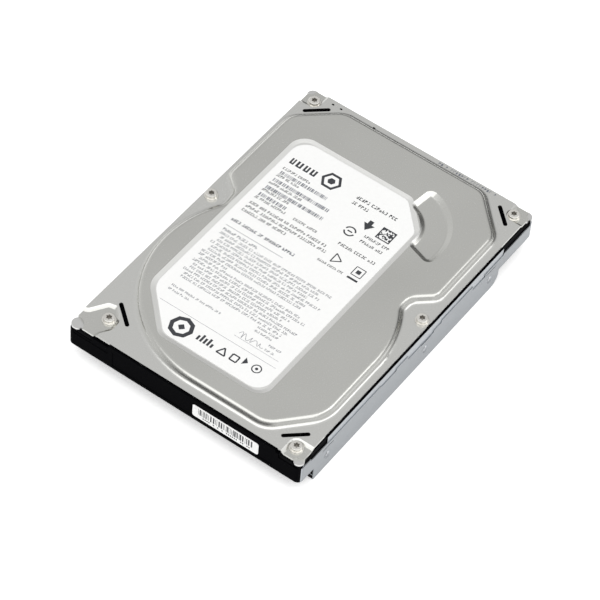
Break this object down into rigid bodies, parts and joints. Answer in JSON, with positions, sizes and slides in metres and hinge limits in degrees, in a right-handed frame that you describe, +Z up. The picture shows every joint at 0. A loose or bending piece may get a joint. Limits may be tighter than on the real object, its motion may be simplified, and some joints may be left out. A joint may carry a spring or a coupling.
{
  "type": "hard disk drive",
  "caption": "Slim 3.5-inch hard disk drive: cast base with side rails, stamped steel cover, spindle with disc, swinging arm with heads, circuit board and drive plug.",
  "frame": {"origin": "middle of the footprint, on the plane of the rails' feet", "axes": "+X across the drive, +Y towards the connector end, +Z up out of the cover"},
  "size_m": [0.1016, 0.147, 0.02],
  "materials": {
    "cover_steel": "satin stamped stainless sheet",
    "label_paper": "white printed film",
    "seal_rubber": "black moulded rubber",
    "screw_steel": "zinc-plated steel",
    "cast_body": "die-cast aluminium with black coating, long sides machined bare",
    "bearing_brass": "turned",
    "lamination_steel": "stacked laminations",
    "copper_wire": "enamelled winding",
    "turned_steel": "turned",
    "black_plastic": "moulded",
    "amber_film": "flexible circuit film",
    "plated_steel": "nickel plated",
    "magnet_plating": "nickel plated magnet",
    "white_plastic": "moulded",
    "filter_fabric": "filter felt",
    "board_laminate": "solder mask over laminate",
    "foam_pad": "soft foam",
    "chip_epoxy": "epoxy package",
    "chip_ceramic": "ceramic",
    "gold_contact": "gold plated",
    "turned_aluminium": "turned",
    "platter_mirror": "polished disc",
    "thin_steel": "thin spring steel"
  },
  "bodies": {
    "housing": {"top_cover": "cover_steel", "top_label": "label_paper", "front_label": "label_paper", "cover_gasket": "seal_rubber", "cover_screws": "screw_steel", "base_casting": "cast_body", "spindle_sleeve": "bearing_brass", "stator_core": "lamination_steel", "stator_windings": "copper_wire", "pivot_shaft": "turned_steel", "ribbon_connector": "black_plastic", "head_ribbon": "amber_film", "head_contact_block": "black_plastic", "lower_yoke": "plated_steel", "upper_yoke": "plated_steel", "lower_magnet": "magnet_plating", "upper_magnet": "magnet_plating", "yoke_posts": "turned_steel", "yoke_screws": "screw_steel", "crash_stops": "seal_rubber", "latch_pin": "turned_steel", "load_ramp": "white_plastic", "ramp_screw": "screw_steel", "recirculation_filter": "filter_fabric", "breather_filter": "filter_fabric", "circuit_board": "board_laminate", "board_foam": "foam_pad", "board_screws": "screw_steel", "controller_chip": "chip_epoxy", "memory_chip": "chip_epoxy", "motor_driver_chip": "chip_epoxy", "small_components": "chip_ceramic", "motor_lead_strip": "amber_film", "motor_contacts": "gold_contact", "drive_plug": "black_plastic", "power_contacts": "gold_contact", "signal_contacts": "gold_contact", "option_block": "black_plastic", "option_pins": "gold_contact"},
    "rotor": {"spindle_hub": "turned_aluminium", "spindle_shaft": "turned_steel", "rotor_magnet": "magnet_plating", "platter": "platter_mirror", "disc_clamp": "turned_aluminium", "clamp_screws": "screw_steel"},
    "actuator": {"arm_block": "turned_aluminium", "pivot_bearing": "turned_steel", "upper_suspension": "thin_steel", "lower_suspension": "thin_steel", "upper_slider": "chip_ceramic", "lower_slider": "chip_ceramic", "voice_coil": "copper_wire", "coil_frame": "black_plastic", "preamp_chip": "chip_epoxy", "preamp_carrier": "turned_aluminium"},
    "latch": {"actuator_latch": "white_plastic"}
  },
  "joints": [
    {"name": "spindle_spin", "type": "hinge", "parent": "housing", "child": "rotor", "pos_m": [0, -0.0215, 0.0126], "axis": [0, 0, 1], "continuous": true},
    {"name": "actuator_swing", "type": "hinge", "parent": "housing", "child": "actuator", "pos_m": [0.0109, 0.0345, 0.0126], "axis": [0, 0, 1], "range_deg": [0, 34], "deforming": ["head_ribbon"]},
    {"name": "latch_swing", "type": "hinge", "parent": "housing", "child": "latch", "pos_m": [0.0421, 0.04113, 0.0129], "axis": [0, 0, 1], "range_deg": [0, 9]}
  ]
}
